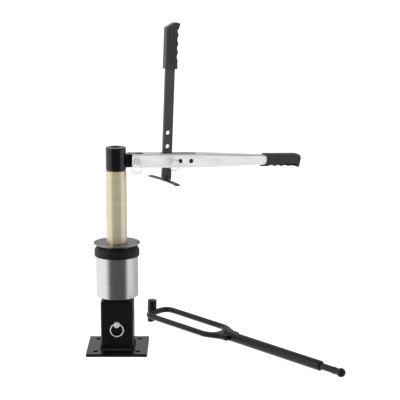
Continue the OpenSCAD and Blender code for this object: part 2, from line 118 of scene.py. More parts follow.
direction = sky_node("TexCoord")
split = sky_node("SeparateXYZ")
sky.links.new(direction.outputs["Generated"], split.inputs[0])
away = sky_node("Math", operation="MULTIPLY")
away.inputs[1].default_value = -1
sky.links.new(split.outputs["Y"], away.inputs[0])
compass = sky_node("Math", operation="ARCTAN2")
sky.links.new(split.outputs["X"], compass.inputs[0])
sky.links.new(away.outputs[0], compass.inputs[1])
round_room = sky_node("MapRange")
round_room.inputs["From Min"].default_value = -pi
round_room.inputs["From Max"].default_value = pi
sky.links.new(compass.outputs[0], round_room.inputs["Value"])

walls = sky_node("ValToRGB")
stops = walls.color_ramp.elements
while len(stops) < len(WALLS):
    stops.new(0.5)
for stop, (angle, level) in zip(stops, WALLS):
    stop.position = (angle + 180) / 360
    stop.color = (level, level, level, 1)
sky.links.new(round_room.outputs["Result"], walls.inputs["Fac"])

up = sky_node("MapRange", interpolation_type="SMOOTHSTEP")
up.inputs["From Min"].default_value = sin(radians(38))
up.inputs["From Max"].default_value = sin(radians(62))
sky.links.new(split.outputs["Z"], up.inputs["Value"])
ceiling = sky_node("MixRGB")
ceiling.inputs["Color2"].default_value = (CEILING, CEILING, CEILING, 1)
sky.links.new(up.outputs["Result"], ceiling.inputs["Fac"])
sky.links.new(walls.outputs["Color"], ceiling.inputs["Color1"])

room = sky_node("Background")
room.inputs["Strength"].default_value = WALL_STRENGTH
sky.links.new(ceiling.outputs["Color"], room.inputs["Color"])
backdrop = sky_node("Background")
backdrop.inputs["Color"].default_value = (1, 1, 1, 1)
seen = sky_node("LightPath")
choose = sky_node("MixShader")
output = sky_node("OutputWorld")
sky.links.new(seen.outputs["Is Camera Ray"], choose.inputs[0])
sky.links.new(room.outputs[0], choose.inputs[1])
sky.links.new(backdrop.outputs[0], choose.inputs[2])
sky.links.new(choose.outputs[0], output.inputs["Surface"])
print("walls at", [angle for angle, level in WALLS])

# %% Lamps
def soft_lamp(name, place, target, size, power):
    """A square soft lamp that faces a point and isn't seen itself."""
    lamp_data = bpy.data.lights.new(name, "AREA")
    lamp_data.size = size
    lamp_data.energy = power
    lamp = bpy.data.objects.new(name, lamp_data)
    lamp.location = place
    lamp.rotation_euler = (Vector(target) - Vector(place)).to_track_quat("-Z", "Y").to_euler()
    lamp.visible_camera = False
    scene.collection.objects.link(lamp)
    return lamp


overhead = soft_lamp("overhead_softbox", (0.2, 0.6, 3.6), (0.2, 0.1, 0), 3.0, 12)
side_light = soft_lamp("left_softbox", (-2.6, -1.6, 1.6), (0, 0, 0.4), 1.2, 18)
front_light = soft_lamp("front_softbox", (1.3, -3.0, 0.9), (0.25, 0, 0.5), 1.6, 34)
front_light.visible_glossy = False
print("lamps", [overhead.name, side_light.name, front_light.name])

# %% [markdown]
# ## The floor
# One large square of matt white that glows a little from below, like a light table, so that it
# stays white and the shadows on it stay faint. Mirror rays pass through it to the painted room,
# so that it lights the object but doesn't lie as a bright band in the metal.

# %% Floor
FLOOR_SIDE = 60
floor_mesh = bpy.data.meshes.new("studio_floor")
sheet = bmesh.new()
bmesh.ops.create_grid(sheet, x_segments=1, y_segments=1, size=FLOOR_SIDE / 2)
sheet.to_mesh(floor_mesh)
sheet.free()
floor = bpy.data.objects.new("studio_floor", floor_mesh)
floor.location.z = -0.0004
floor.visible_glossy = False
scene.collection.objects.link(floor)
matt_white = bpy.data.materials.new("matt_white")
matt_white.use_nodes = True
sheet_light = matt_white.node_tree.nodes["Principled BSDF"].inputs
sheet_light["Base Color"].default_value = (0.42, 0.42, 0.42, 1)
sheet_light["Roughness"].default_value = 1
sheet_light["Emission Color"].default_value = (1, 1, 1, 1)
sheet_light["Emission Strength"].default_value = 0.9
floor_mesh.materials.append(matt_white)
floor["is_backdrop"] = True
print("floor", FLOOR_SIDE, "m square")

# %% [markdown]
# ## Working places
# Every piece is drawn in millimetres in the place where it is easiest to think about: the post
# stands on its own axis, the lever lies along X from its pivot, the arm stands up from its pin,
# and the mounting bar lies along X from its head. These matrices carry each place to where the
# measured model has it. They are used once, on the mesh itself, so every finished object stays
# at the origin, unturned and unscaled.

# %% Places
def moved(x, y, z):
    """A shift, in millimetres."""
    return Matrix.Translation((x, y, z))


def turned(angle, axis):
    """A turn about an axis, in degrees."""
    return Matrix.Rotation(radians(angle), 4, axis)


MILLIMETRES = Matrix.Scale(0.001, 4)
PIVOT_S, PIVOT_Z = 51, 522
ARM_S, HOLE_PITCH = 93, 31
BAR_LENGTH, BAR_HEAD_Z, BALL_R = 713, 34, 12
POST = Matrix.Identity(4)
HEAD = turned(20, "Z") @ moved(PIVOT_S, 0, PIVOT_Z)
LEVER = HEAD @ turned(3.2, "Y")
ARM = LEVER @ moved(ARM_S, 0, 0) @ turned(-0.9, "Y")
bar_tilt = degrees(asin((BAR_HEAD_Z - BALL_R) / BAR_LENGTH))
BAR = moved(85, 256, BAR_HEAD_Z) @ turned(-45, "Z") @ turned(bar_tilt, "Y")
print("lever pivot at", [round(c, 1) for c in LEVER.translation], "mm")

# %% [markdown]
# ## Four small tools
# Nearly every piece here is cut from plate, turned on a lathe, or bent from rod, so four tools
# make them all. `outline` draws a closed loop and rounds its corners. `punch` fills a flat
# outline and leaves holes. `lathe` spins a half profile into a full turn. `soften` takes the
# knife edge off every sharp corner and marks the faces that it made, so that a finish can wear
# there. Real coats and castings never have a zero-width edge, and it is the thin bright line on
# the rounded edge that makes a render look solid.

# %% Outlines and holes
def picked(items, kind):
    """Those of a tool's results that are points, edges or faces."""
    return [item for item in items if isinstance(item, kind)]


def outline(bm, corners):
    """A closed loop of edges. Each corner is (point, how far its rounding reaches)."""
    before = set(bm.edges)
    verts = [bm.verts.new(point) for point, reach in corners]
    for i, vert in enumerate(verts):
        bm.edges.new((verts[i - 1], vert))
    for vert, (point, reach) in zip(verts, corners):
        if reach:
            bmesh.ops.bevel(bm, geom=[vert], offset=reach, offset_type="OFFSET", segments=8,
                            profile=0.5, affect="VERTICES", material=-1)
    return [edge for edge in bm.edges if edge not in before]


ROUND_END = 0.999  # two corners rounded by nearly half the width leave a round end


def flat_corners(points, reach=0):
    """Corners in the XZ plane, all with the same rounding."""
    return [((x, 0, z), reach) for x, z in points]


def square_corners(half):
    """The four corners of a square round the axis, in order."""
    return [(-half, -half), (half, -half), (half, half), (-half, half)]


def ring(bm, radius, place=POST, sides=32):
    """A circle of edges."""
    made = bmesh.ops.create_circle(bm, cap_ends=False, radius=radius, segments=sides, matrix=place)
    return list({edge for vert in made["verts"] for edge in vert.link_edges})


def punch(bm, edges):
    """Fills a flat outline. Loops inside it stay open as holes."""
    made = bmesh.ops.triangle_fill(bm, use_beauty=True, use_dissolve=False, edges=edges)
    return picked(made["geom"], bmesh.types.BMFace)


def thicken(bm, shift):
    """Pulls a flat sheet into a solid plate."""
    pulled = bmesh.ops.extrude_face_region(bm, geom=bm.faces[:])
    bmesh.ops.translate(bm, vec=shift, verts=picked(pulled["geom"], bmesh.types.BMVert))


def pull(bm, edges):
    """Extrudes a run of edges, and returns its new edges and points."""
    pulled = bmesh.ops.extrude_edge_only(bm, edges=edges)
    verts = picked(pulled["geom"], bmesh.types.BMVert)
    edges = picked(pulled["geom"], bmesh.types.BMEdge)
    return [edge for edge in edges if all(vert in verts for vert in edge.verts)], verts


# %% The lathe
ABOUT_X = turned(90, "Y")


def lathe(bm, profile, steps=96):
    """Spins (radius, height) points about Z. The profile is closed, or it starts and ends on the axis."""
    verts = [bm.verts.new((radius, 0, height)) for radius, height in profile]
    ends = 0 if profile[0][0] or profile[-1][0] else 1
    edges = [bm.edges.new((verts[i - 1], verts[i])) for i in range(ends, len(verts))]
    bmesh.ops.spin(bm, geom=verts + edges, cent=(0, 0, 0), axis=(0, 0, 1), dvec=(0, 0, 0), angle=2 * pi,
                   steps=steps, use_merge=True, use_normal_flip=False, use_duplicate=False)
    bmesh.ops.remove_doubles(bm, verts=bm.verts, dist=0.0001)
    bmesh.ops.recalc_face_normals(bm, faces=bm.faces)


def tube_section(inner, outer, low, high):
    """Half the section of a plain ring or tube."""
    return [(inner, low), (outer, low), (outer, high), (inner, high)]


# %% Soft edges
def soften(bm, width, segments=2, angle=38, where=None):
    """Rounds every edge sharper than the angle, and marks the new faces as edge."""
    bmesh.ops.recalc_face_normals(bm, faces=bm.faces)
    worn = bm.faces.layers.float.get("edge") or bm.faces.layers.float.new("edge")
    sharp = [edge for edge in bm.edges if edge.is_manifold and edge.calc_face_angle() > radians(angle)
             and (where is None or where(edge))]
    made = bmesh.ops.bevel(bm, geom=sharp, offset=width, offset_type="OFFSET", segments=segments,
                           profile=0.5, affect="EDGES", clamp_overlap=True, material=-1)
    for face in made["faces"]:
        face[worn] = 1


# %% Handing a piece over
finished = []


def hand_over(bm, name, body, finish, *nodes, place=POST, sharp_angle=40):
    """Turns a drawn mesh into a finished piece: placed, shaded, painted and riding on its body."""
    bmesh.ops.transform(bm, matrix=MILLIMETRES @ place, verts=bm.verts)
    bmesh.ops.recalc_face_normals(bm, faces=bm.faces)
    open_edges = sum(not edge.is_manifold for edge in bm.edges)
    mesh = bpy.data.meshes.new(name)
    bm.to_mesh(mesh)
    bm.free()
    mesh.shade_smooth()
    mesh.set_sharp_from_angle(angle=radians(sharp_angle))
    mesh.materials.append(finish)
    piece = bpy.data.objects.new(name, mesh)
    scene.collection.objects.link(piece)
    even = piece.modifiers.new("flat faces stay flat", "WEIGHTED_NORMAL")
    even.keep_sharp = True
    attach(piece, body)
    if nodes:
        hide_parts(*nodes)
    finished.append(piece)
    print(f"{name}: {len(mesh.polygons)} faces, {open_edges} open edges")
    return piece

# %% [markdown]
# ## The finishes
# Each finish is one node tree on Object coordinates, so its grain has a real size in
# millimetres and doesn't swim. A coarse noise varies the tone, a fine one varies the roughness
# and lifts the surface a little, and the marked edges get the colour that shows where a coat is
# thin. An image would be quicker to paint, but it would have one resolution and one layout.

# %% A finish with tone, grain and worn edges
def new_finish(name, dark, light, roughness, lift, patch=(30, 30, 30), grain=(1, 1, 1), place=POST,
               metallic=0.0, edge_tone=None, edge_share=0.5, coat=0.0, specular=0.5, painted_shade_tone=None):
    """A procedural finish. Patch and grain are the sizes of the coarse and fine noise in mm."""
    measured = bpy.data.materials.get(name)
    if measured:
        measured.name = name + "_measured"
    finish = bpy.data.materials.new(name)
    finish.use_nodes = True
    tree = finish.node_tree
    shader = tree.nodes["Principled BSDF"]
    shader.inputs["Metallic"].default_value = metallic
    shader.inputs["Coat Weight"].default_value = coat
    shader.inputs["Coat Roughness"].default_value = 0.08
    shader.inputs["Specular IOR Level"].default_value = specular
    where = tree.nodes.new("ShaderNodeTexCoord")

    def noise(size, detail):
        """Noise whose lumps have the given size along the piece's own axes."""
        mapping = tree.nodes.new("ShaderNodeMapping")
        mapping.vector_type = "TEXTURE"
        mapping.inputs["Location"].default_value = (MILLIMETRES @ place).translation
        mapping.inputs["Rotation"].default_value = place.to_euler()
        mapping.inputs["Scale"].default_value = [side / 1000 for side in size]
        lumps = tree.nodes.new("ShaderNodeTexNoise")
        lumps.inputs["Scale"].default_value = 1
        lumps.inputs["Detail"].default_value = detail
        tree.links.new(where.outputs["Object"], mapping.inputs["Vector"])
        tree.links.new(mapping.outputs["Vector"], lumps.inputs["Vector"])
        return lumps.outputs["Fac"]

    coarse, fine = noise(patch, 3), noise(grain, 2)
    tone = tree.nodes.new("ShaderNodeValToRGB")
    tone.color_ramp.elements[0].position, tone.color_ramp.elements[1].position = 0.32, 0.68
    tone.color_ramp.elements[0].color = (*dark, 1)
    tone.color_ramp.elements[1].color = (*light, 1)
    tree.links.new(coarse, tone.inputs["Fac"])
    edge = tree.nodes.new("ShaderNodeAttribute")
    edge.attribute_name = "edge"
    share = tree.nodes.new("ShaderNodeMath")
    share.operation = "MULTIPLY"
    share.inputs[1].default_value = edge_share
    tree.links.new(edge.outputs["Fac"], share.inputs[0])
    worn = tree.nodes.new("ShaderNodeMixRGB")
    worn.inputs["Color2"].default_value = (*(edge_tone or light), 1)
    tree.links.new(share.outputs[0], worn.inputs["Fac"])
    tree.links.new(tone.outputs["Color"], worn.inputs["Color1"])
    # Faces marked inner are mixed towards a dark tone, a painted shade for the shadow inside a channel.
    inner = tree.nodes.new("ShaderNodeAttribute")
    inner.attribute_name = "inner"
    colour = tree.nodes.new("ShaderNodeMixRGB")
    colour.inputs["Color2"].default_value = (*(painted_shade_tone or dark), 1)
    tree.links.new(inner.outputs["Fac"], colour.inputs["Fac"])
    tree.links.new(worn.outputs["Color"], colour.inputs["Color1"])
    tree.links.new(colour.outputs["Color"], shader.inputs["Base Color"])
    polish = tree.nodes.new("ShaderNodeMapRange")
    polish.inputs["From Min"].default_value, polish.inputs["From Max"].default_value = 0.3, 0.7
    polish.inputs["To Min"].default_value, polish.inputs["To Max"].default_value = roughness
    tree.links.new(fine, polish.inputs["Value"])
    tree.links.new(polish.outputs["Result"], shader.inputs["Roughness"])
    bump = tree.nodes.new("ShaderNodeBump")
    bump.inputs["Distance"].default_value = lift / 1000
    bump.inputs["Strength"].default_value = 1
    tree.links.new(fine, bump.inputs["Height"])
    tree.links.new(bump.outputs["Normal"], shader.inputs["Normal"])
    return finish


# %% [markdown]
# ### Coats
# Powder coat is sprayed dry and baked, which leaves it faintly pebbled, like orange peel. The
# base, the head and the mounting bar are semi-gloss black; the turned collar is smoother, and
# the arm's coat is a flatter charcoal.

# %% Coats
black_powder_coat = new_finish("black_powder_coat", (0.004, 0.004, 0.0045), (0.007, 0.007, 0.0075),
                               (0.2, 0.3), 0.02, patch=(45, 45, 45), grain=(1.3, 1.3, 1.3),
                               edge_tone=(0.025, 0.025, 0.026), specular=0.3)
black_gloss_coat = new_finish("black_gloss_coat", (0.003, 0.003, 0.0035), (0.005, 0.005, 0.0055), (0.14, 0.2),
                              0.008, grain=(2.2, 2.2, 2.2), edge_tone=(0.015, 0.015, 0.016))
arm_coat = new_finish("arm_coat", (0.04, 0.04, 0.041), (0.052, 0.052, 0.053), (0.36, 0.46), 0.02,
                      patch=(14, 14, 40), place=ARM, edge_tone=(0.012, 0.012, 0.013), edge_share=0.8)
bar_coat = new_finish("bar_coat", (0.006, 0.006, 0.007), (0.011, 0.011, 0.012), (0.24, 0.34), 0.03,
                      patch=(30, 12, 12), grain=(1.5, 1.5, 1.5), place=BAR, edge_tone=(0.03, 0.03, 0.032),
                      specular=0.3)
print("coats", [f.name for f in (black_powder_coat, black_gloss_coat, arm_coat, bar_coat)])

# %% [markdown]
# ### Bare and plated metal
# The drum is turned, so its scratches run round it: the grain is wide and very low. The lever
# is zinc plated over pressed steel, brushed lightly along its length and slightly clouded. The
# pins and rings have the same plating without the brushing.

# %% Metals
spun_aluminium = new_finish("spun_aluminium", (0.66, 0.67, 0.685), (0.72, 0.73, 0.745), (0.2, 0.3), 0.006,
                            patch=(60, 60, 3), grain=(25, 25, 0.35), metallic=1, edge_tone=(0.85, 0.86, 0.87))
zinc_plate = new_finish("zinc_plate", (0.2, 0.2, 0.21), (0.28, 0.28, 0.29), (0.34, 0.46), 0.01,
                        patch=(9, 9, 9), grain=(0.9, 0.9, 0.9), metallic=1, edge_tone=(0.8, 0.8, 0.82),
                        edge_share=0.9)
ground_steel = new_finish("ground_steel", (0.45, 0.45, 0.46), (0.55, 0.55, 0.56), (0.18, 0.28), 0.004,
                          patch=(30, 30, 4), grain=(12, 12, 0.3), metallic=1)
bronze = new_finish("bronze", (0.38, 0.24, 0.1), (0.5, 0.33, 0.15), (0.28, 0.4), 0.005,
                    patch=(8, 8, 3), grain=(6, 6, 0.4), metallic=1)
# The lever's dark inner tone is a painted shade for the inside of its channel, which lies in shadow.
lever_plate = new_finish("lever_plate", (0.8, 0.805, 0.81), (0.93, 0.935, 0.94), (0.4, 0.52), 0.01,
                         patch=(55, 9, 9), grain=(22, 0.6, 0.6), place=LEVER, metallic=0.25,
                         edge_tone=(0.96, 0.96, 0.97), painted_shade_tone=(0.05, 0.05, 0.052))
zinc_pin = new_finish("zinc_pin", (0.8, 0.8, 0.81), (0.9, 0.9, 0.91), (0.2, 0.32), 0.006,
                      patch=(5, 5, 5), grain=(0.8, 0.8, 0.8), metallic=0.5, edge_tone=(0.93, 0.93, 0.94))
print("metals", [f.name for f in (spun_aluminium, zinc_plate, ground_steel, bronze, lever_plate, zinc_pin)])

# %% [markdown]
# ### Nylon and rubber
# Nylon lets a little light in, which softens its shading, and the turning tool leaves very fine
# rings. Moulded rubber is matt and finely pebbled.

# %% Nylon and rubber
ivory_nylon = new_finish("ivory_nylon", (0.6, 0.54, 0.36), (0.66, 0.6, 0.42), (0.28, 0.36), 0.01,
                         patch=(60, 60, 5), grain=(15, 15, 0.5), metallic=0.45, edge_tone=(0.8, 0.77, 0.62),
                         coat=1.0)
milky = ivory_nylon.node_tree.nodes["Principled BSDF"].inputs
milky["Subsurface Weight"].default_value = 0.15
milky["Subsurface Radius"].default_value = (1, 0.8, 0.5)
milky["Subsurface Scale"].default_value = 0.004
milky["Coat IOR"].default_value = 2.0
grip_rubber = new_finish("grip_rubber", (0.024, 0.024, 0.025), (0.032, 0.032, 0.033), (0.42, 0.54), 0.03,
                         patch=(18, 18, 18), grain=(0.7, 0.7, 0.7), edge_tone=(0.03, 0.03, 0.031))
black_rubber = new_finish("black_rubber", (0.004, 0.004, 0.0045), (0.006, 0.006, 0.0065), (0.4, 0.52), 0.04,
                          patch=(20, 20, 5), grain=(0.8, 0.8, 0.8), edge_tone=(0.015, 0.015, 0.016),
                          specular=0.25)
print("soft finishes", [f.name for f in (ivory_nylon, grip_rubber, black_rubber)])

# %% [markdown]
# ## The base
# The base plate is flame-cut steel with four anchor holes. It could be a cube with holes cut by
# booleans, but a filled outline pulled up by its thickness gives clean walls in the holes and
# an edge that rounds evenly.

# %% Base plate
PLATE, PLATE_T, PLATE_CORNER, BOLT_PITCH, BOLT_HOLE = 165, 8, 3, 115, 15
bm = bmesh.new()
edges = outline(bm, [((x, y, 0), PLATE_CORNER) for x, y in square_corners(PLATE / 2)])
for x in (-BOLT_PITCH / 2, BOLT_PITCH / 2):
    for y in (-BOLT_PITCH / 2, BOLT_PITCH / 2):
        edges += ring(bm, BOLT_HOLE / 2, moved(x, y, 0))
punch(bm, edges)
thicken(bm, (0, 0, PLATE_T))
soften(bm, 0.7, segments=3)
hand_over(bm, "floor_plate", "base", black_powder_coat, "base_plate")

# %% [markdown]
# The receiver is a square tube, and the column slides in it as a second one, cross-drilled for
# one pin. A tube starts as a rounded square that is extruded upwards. The two flat walls that
# the pin crosses are then opened and filled again round a circle, and the sheet gets its
# thickness inwards.

# %% Square tubes
PIN_HOLE_R = 6.05
BASE_PIN_Z = 80.5


def square_tube(bm, width, wall, bottom, top, corner):
    """A square tube on the post's axis, cross-drilled for the base pin along Y."""
    half = width / 2
    loop = outline(bm, [((x, y, bottom), corner) for x, y in square_corners(half)])
    verts = pull(bm, loop)[1]
    bmesh.ops.translate(bm, vec=(0, 0, top - bottom), verts=verts)
    bm.normal_update()
    for side in (-1, 1):
        drill(bm, (0, side, 0), [ring(bm, PIN_HOLE_R, moved(0, side * half, BASE_PIN_Z) @ turned(90, "X"))])
    bmesh.ops.recalc_face_normals(bm, faces=bm.faces)
    bmesh.ops.solidify(bm, geom=bm.faces[:], thickness=wall)


def drill(bm, facing, loops):
    """Opens the largest flat face that faces a direction, and fills it again round the loops."""
    facing = Vector(facing).normalized()
    wall = max((face for face in bm.faces if abs(face.normal.dot(facing)) > 0.99 and
                face.calc_center_median().dot(facing) > 0), key=lambda face: face.calc_area())
    border = list(wall.edges)
    bmesh.ops.delete(bm, geom=[wall], context="FACES_ONLY")
    punch(bm, border + [edge for loop in loops for edge in loop])


RECEIVER_W, RECEIVER_TOP, RECEIVER_WALL, TUBE_CORNER = 88, 139, 5, 6
COLUMN_W, COLUMN_TOP, COLUMN_WALL = 76, 256, 4
bm = bmesh.new()
square_tube(bm, RECEIVER_W, RECEIVER_WALL, PLATE_T, RECEIVER_TOP, TUBE_CORNER)
soften(bm, 0.6)
hand_over(bm, "receiver_socket", "base", black_powder_coat, "receiver_tube")

bm = bmesh.new()
square_tube(bm, COLUMN_W, COLUMN_WALL, PLATE_T, COLUMN_TOP, TUBE_CORNER)
soften(bm, 0.4)
hand_over(bm, "inner_column", "base", black_powder_coat, "column_tube")

# %% [markdown]
# ## Welds
# A weld bead is a row of overlapping drops of metal. It could be a bump texture, but the drops
# show in the outline where a bead is lit from the side. So a small round profile is swept along
# the joint, and it swells and shrinks once per drop.

# %% Sweeping a profile
def sweep(bm, profile, stations, closed=False):
    """Draws a profile at the first station and extrudes it through the others. Each is a matrix."""
    verts = [bm.verts.new(stations[0] @ Vector(point)) for point in profile]
    first = loop = [bm.edges.new((verts[i - 1], verts[i])) for i in range(len(verts))]
    for here, there in zip(stations, stations[1:]):
        loop, verts = pull(bm, loop)
        bmesh.ops.transform(bm, matrix=there @ here.inverted(), verts=verts)
    if closed:
        bmesh.ops.bridge_loops(bm, edges=first + loop)
    else:
        bmesh.ops.edgeloop_fill(bm, edges=first)
        bmesh.ops.edgeloop_fill(bm, edges=loop)
    bmesh.ops.recalc_face_normals(bm, faces=bm.faces)


def circle_points(radius, sides):
    """A round profile that faces along X."""
    return [(0, radius * cos(2 * pi * i / sides), radius * sin(2 * pi * i / sides)) for i in range(sides)]


# %% Walking along a path
DROP_SWELL = 0.16


def walk(start, legs):
    """Stations along a path. A leg is ("run", length, steps) or ("bend", radius, left angle, steps)."""
    stations = [start]
    for kind, *leg in legs:
        for step in range(leg[-1]):
            if kind == "run":
                move = moved(leg[0] / leg[1], 0, 0)
            else:
                radius, angle, steps = leg
                middle = moved(0, radius if angle > 0 else -radius, 0)
                move = middle @ turned(angle / steps, "Z") @ middle.inverted()
            stations.append(stations[-1] @ move)
    return stations


def rippled(stations, per_drop=3):
    """Lets the profile swell once per drop of weld metal."""
    return [station @ Matrix.Scale(1 + DROP_SWELL * sin(2 * pi * i / per_drop), 4)
            for i, station in enumerate(stations)]


# %% Receiver weld
WELD_R = 3.1
WELD_OUT = 0.6
side = RECEIVER_W - 2 * TUBE_CORNER
start = moved(RECEIVER_W / 2 + WELD_OUT, -side / 2, PLATE_T + WELD_OUT) @ turned(90, "Z")
legs = [("run", side, 75), ("bend", TUBE_CORNER + WELD_OUT, 90, 12)] * 4
bm = bmesh.new()
sweep(bm, circle_points(WELD_R, 10), rippled(walk(start, legs)[:-1]), closed=True)
hand_over(bm, "receiver_weld_bead", "base", black_powder_coat, "receiver_weld", sharp_angle=60)

# %% [markdown]
# ## The wheel seat
# Drum, rubber ring, spacer, disc and sleeve sit on one axis. All but the disc are turned parts,
# so half of each section is drawn and spun. The drum is a cap with a long skirt that hides the
# top of the column.

# %% Turned parts of the wheel seat
DRUM_R, DRUM_BOTTOM, DRUM_TOP, DRUM_WALL = 57, 151.5, 263, 3
SHAFT_R, SHAFT_BOTTOM, SHAFT_END = 10, 223, 554
DISC_R, DISC_TOP, DISC_T = 63, 299, 2.5
SLEEVE_R, SLEEVE_TOP, SPACER_R = 28.2, 496, 40
RUBBER_R, RUBBER_TOP, BEVEL_W, BEVEL_H = 61, 289, 6.5, 9

bm = bmesh.new()
lathe(bm, [(DRUM_R, DRUM_BOTTOM), (DRUM_R, DRUM_TOP), (SHAFT_R, DRUM_TOP), (SHAFT_R, COLUMN_TOP),
           (DRUM_R - DRUM_WALL, COLUMN_TOP), (DRUM_R - DRUM_WALL, DRUM_BOTTOM)], steps=128)
soften(bm, 0.8, segments=3)
hand_over(bm, "turned_drum", "base", spun_aluminium, "drum")

bm = bmesh.new()
lathe(bm, [(SPACER_R, DRUM_TOP), (RUBBER_R, DRUM_TOP), (RUBBER_R, RUBBER_TOP - BEVEL_H),
           (RUBBER_R - BEVEL_W, RUBBER_TOP),
           (SPACER_R, RUBBER_TOP)], steps=128)
soften(bm, 1.2, segments=4, angle=30, where=lambda edge: edge.verts[0].co.xy.length > SPACER_R + 10)
hand_over(bm, "moulded_rubber_ring", "base", black_rubber, "rubber_ring", sharp_angle=55)

bm = bmesh.new()
lathe(bm, tube_section(SHAFT_R, SPACER_R, DRUM_TOP, DISC_TOP - DISC_T))
soften(bm, 0.5)
hand_over(bm, "turned_spacer", "base", spun_aluminium, "ring_spacer")

bm = bmesh.new()
lathe(bm, tube_section(SHAFT_R, SLEEVE_R, DISC_TOP, SLEEVE_TOP))
soften(bm, 0.8, segments=3)
hand_over(bm, "nylon_sleeve", "base", ivory_nylon, "centre_sleeve")

bm = bmesh.new()
CHAMFER, CENTRE_R = 1.5, 3
lathe(bm, [(0, SHAFT_BOTTOM), (SHAFT_R, SHAFT_BOTTOM), (SHAFT_R, SHAFT_END - CHAMFER),
           (SHAFT_R - CHAMFER, SHAFT_END), (CENTRE_R, SHAFT_END), (0, SHAFT_END - CENTRE_R)], steps=64)
soften(bm, 0.3)
hand_over(bm, "ground_shaft", "base", ground_steel, "centre_shaft")

# %% [markdown]
# The disc is sheet steel with two slots, which catch the drive holes of the wheel. Its rim is a
# circle with the few points at each slot taken out, and four new points make the slot. The two
# inner corners are rounded until they meet, which is the round end that a punch leaves.

# %% Support disc
SLOT_DEPTH, SLOT_HALF = 13, 4
bm = bmesh.new()
ring(bm, DISC_R, moved(0, 0, DISC_TOP - DISC_T), sides=120)
for side in (1, -1):
    mouth = [vert for vert in bm.verts if vert.co.x * side > 0 and abs(vert.co.y) < SLOT_HALF + 0.8
             and vert.co.xy.length > DISC_R - 1]
    bmesh.ops.delete(bm, geom=mouth, context="VERTS")
    ends = sorted((vert for vert in bm.verts if len(vert.link_edges) == 1), key=lambda vert: vert.co.y)
    chain = [ends[0]]
    for x, y in ((sqrt(DISC_R ** 2 - SLOT_HALF ** 2), -SLOT_HALF), (DISC_R - SLOT_DEPTH, -SLOT_HALF),
                 (DISC_R - SLOT_DEPTH, SLOT_HALF), (sqrt(DISC_R ** 2 - SLOT_HALF ** 2), SLOT_HALF)):
        chain.append(bm.verts.new((side * x, y, DISC_TOP - DISC_T)))
    chain.append(ends[1])
    for here, there in zip(chain, chain[1:]):
        bm.edges.new((here, there))
    for corner in chain[2:4]:
        bmesh.ops.bevel(bm, geom=[corner], offset=SLOT_HALF * 0.99, offset_type="OFFSET", segments=6,
                        profile=0.5, affect="VERTICES", material=-1)
punch(bm, bm.edges[:] + ring(bm, SHAFT_R, moved(0, 0, DISC_TOP - DISC_T)))
thicken(bm, (0, 0, DISC_T))
soften(bm, 0.4)
hand_over(bm, "slotted_disc", "base", zinc_plate, "support_disc")

# %% [markdown]
# ## The swivelling head
# A bronze bush slides on the shaft, and the collar turns on the bush, so the lever can face any
# way. Both are turned parts. The collar's edges have a generous round and a gloss coat, so its
# sides show the room as clear upright bands.

# %% Bush and collar
BUSH_R, BUSH_TOP, FLANGE_R, FLANGE_T = 15, 557.5, 23, 2
COLLAR_R, COLLAR_TOP, RUNNING_GAP = 27.3, 560, 0.05
bm = bmesh.new()
bore = SHAFT_R + RUNNING_GAP
lathe(bm, [(bore, SLEEVE_TOP), (FLANGE_R, SLEEVE_TOP), (FLANGE_R, SLEEVE_TOP + FLANGE_T),
           (BUSH_R, SLEEVE_TOP + FLANGE_T), (BUSH_R, BUSH_TOP), (bore, BUSH_TOP)], steps=64)
soften(bm, 0.3)
hand_over(bm, "bronze_bush", "bush", bronze, "head_bush")

bm = bmesh.new()
lathe(bm, tube_section(BUSH_R + RUNNING_GAP, COLLAR_R, SLEEVE_TOP + FLANGE_T, COLLAR_TOP))
soften(bm, 2.4, segments=5, where=lambda edge: edge.verts[0].co.xy.length > BUSH_R + 1)
soften(bm, 0.5, where=lambda edge: edge.verts[0].co.xy.length < BUSH_R + 1)
hand_over(bm, "turned_collar", "head", black_gloss_coat, "collar")

# %% [markdown]
# The lever hangs on a thick tongue that is welded to the collar, with a boss that fills the
# channel. The tongue is an outline with a round end, and the boss is turned. The weld where the
# tongue meets the collar follows both sides.

# %% Lever tongue
CHANNEL_W, CHANNEL_H = 48, 36
TONGUE_W, BOSS_R, BOSS_W = 22, 14, 41
bm = bmesh.new()
reach = CHANNEL_H / 2
root = COLLAR_R - PIVOT_S - 2
edges = outline(bm, [((root, 0, -reach), 0), ((reach, 0, -reach), reach * ROUND_END),
                     ((reach, 0, reach), reach * ROUND_END), ((root, 0, reach), 0)])
edges += ring(bm, BOSS_R - 3, turned(90, "X"))
punch(bm, edges)
bmesh.ops.translate(bm, vec=(0, -TONGUE_W / 2, 0), verts=bm.verts)
thicken(bm, (0, TONGUE_W, 0))
soften(bm, 1.2, segments=3)
boss = bmesh.new()
lathe(boss, tube_section(PIN_HOLE_R, BOSS_R, -BOSS_W / 2, BOSS_W / 2), steps=64)
soften(boss, 0.6)
bmesh.ops.rotate(boss, verts=boss.verts, cent=(0, 0, 0), matrix=Matrix.Rotation(pi / 2, 3, "X"))
boss_mesh = bpy.data.meshes.new("boss")
boss.to_mesh(boss_mesh)
boss.free()
bm.from_mesh(boss_mesh)
bpy.data.meshes.remove(boss_mesh)
hand_over(bm, "lever_tongue", "head", black_powder_coat, "lever_bracket", place=HEAD)

bm = bmesh.new()
for side in (-1, 1):
    joint_x = sqrt(COLLAR_R ** 2 - (TONGUE_W / 2) ** 2) - PIVOT_S
    start = moved(joint_x + 0.3, side * (TONGUE_W / 2 + 0.2), -reach + 1) @ turned(-90, "Y")
    sweep(bm, circle_points(2.3, 8), rippled(walk(start, [("run", CHANNEL_H - 2, 30)])))
hand_over(bm, "tongue_weld_beads", "head", black_powder_coat, place=HEAD, sharp_angle=60)
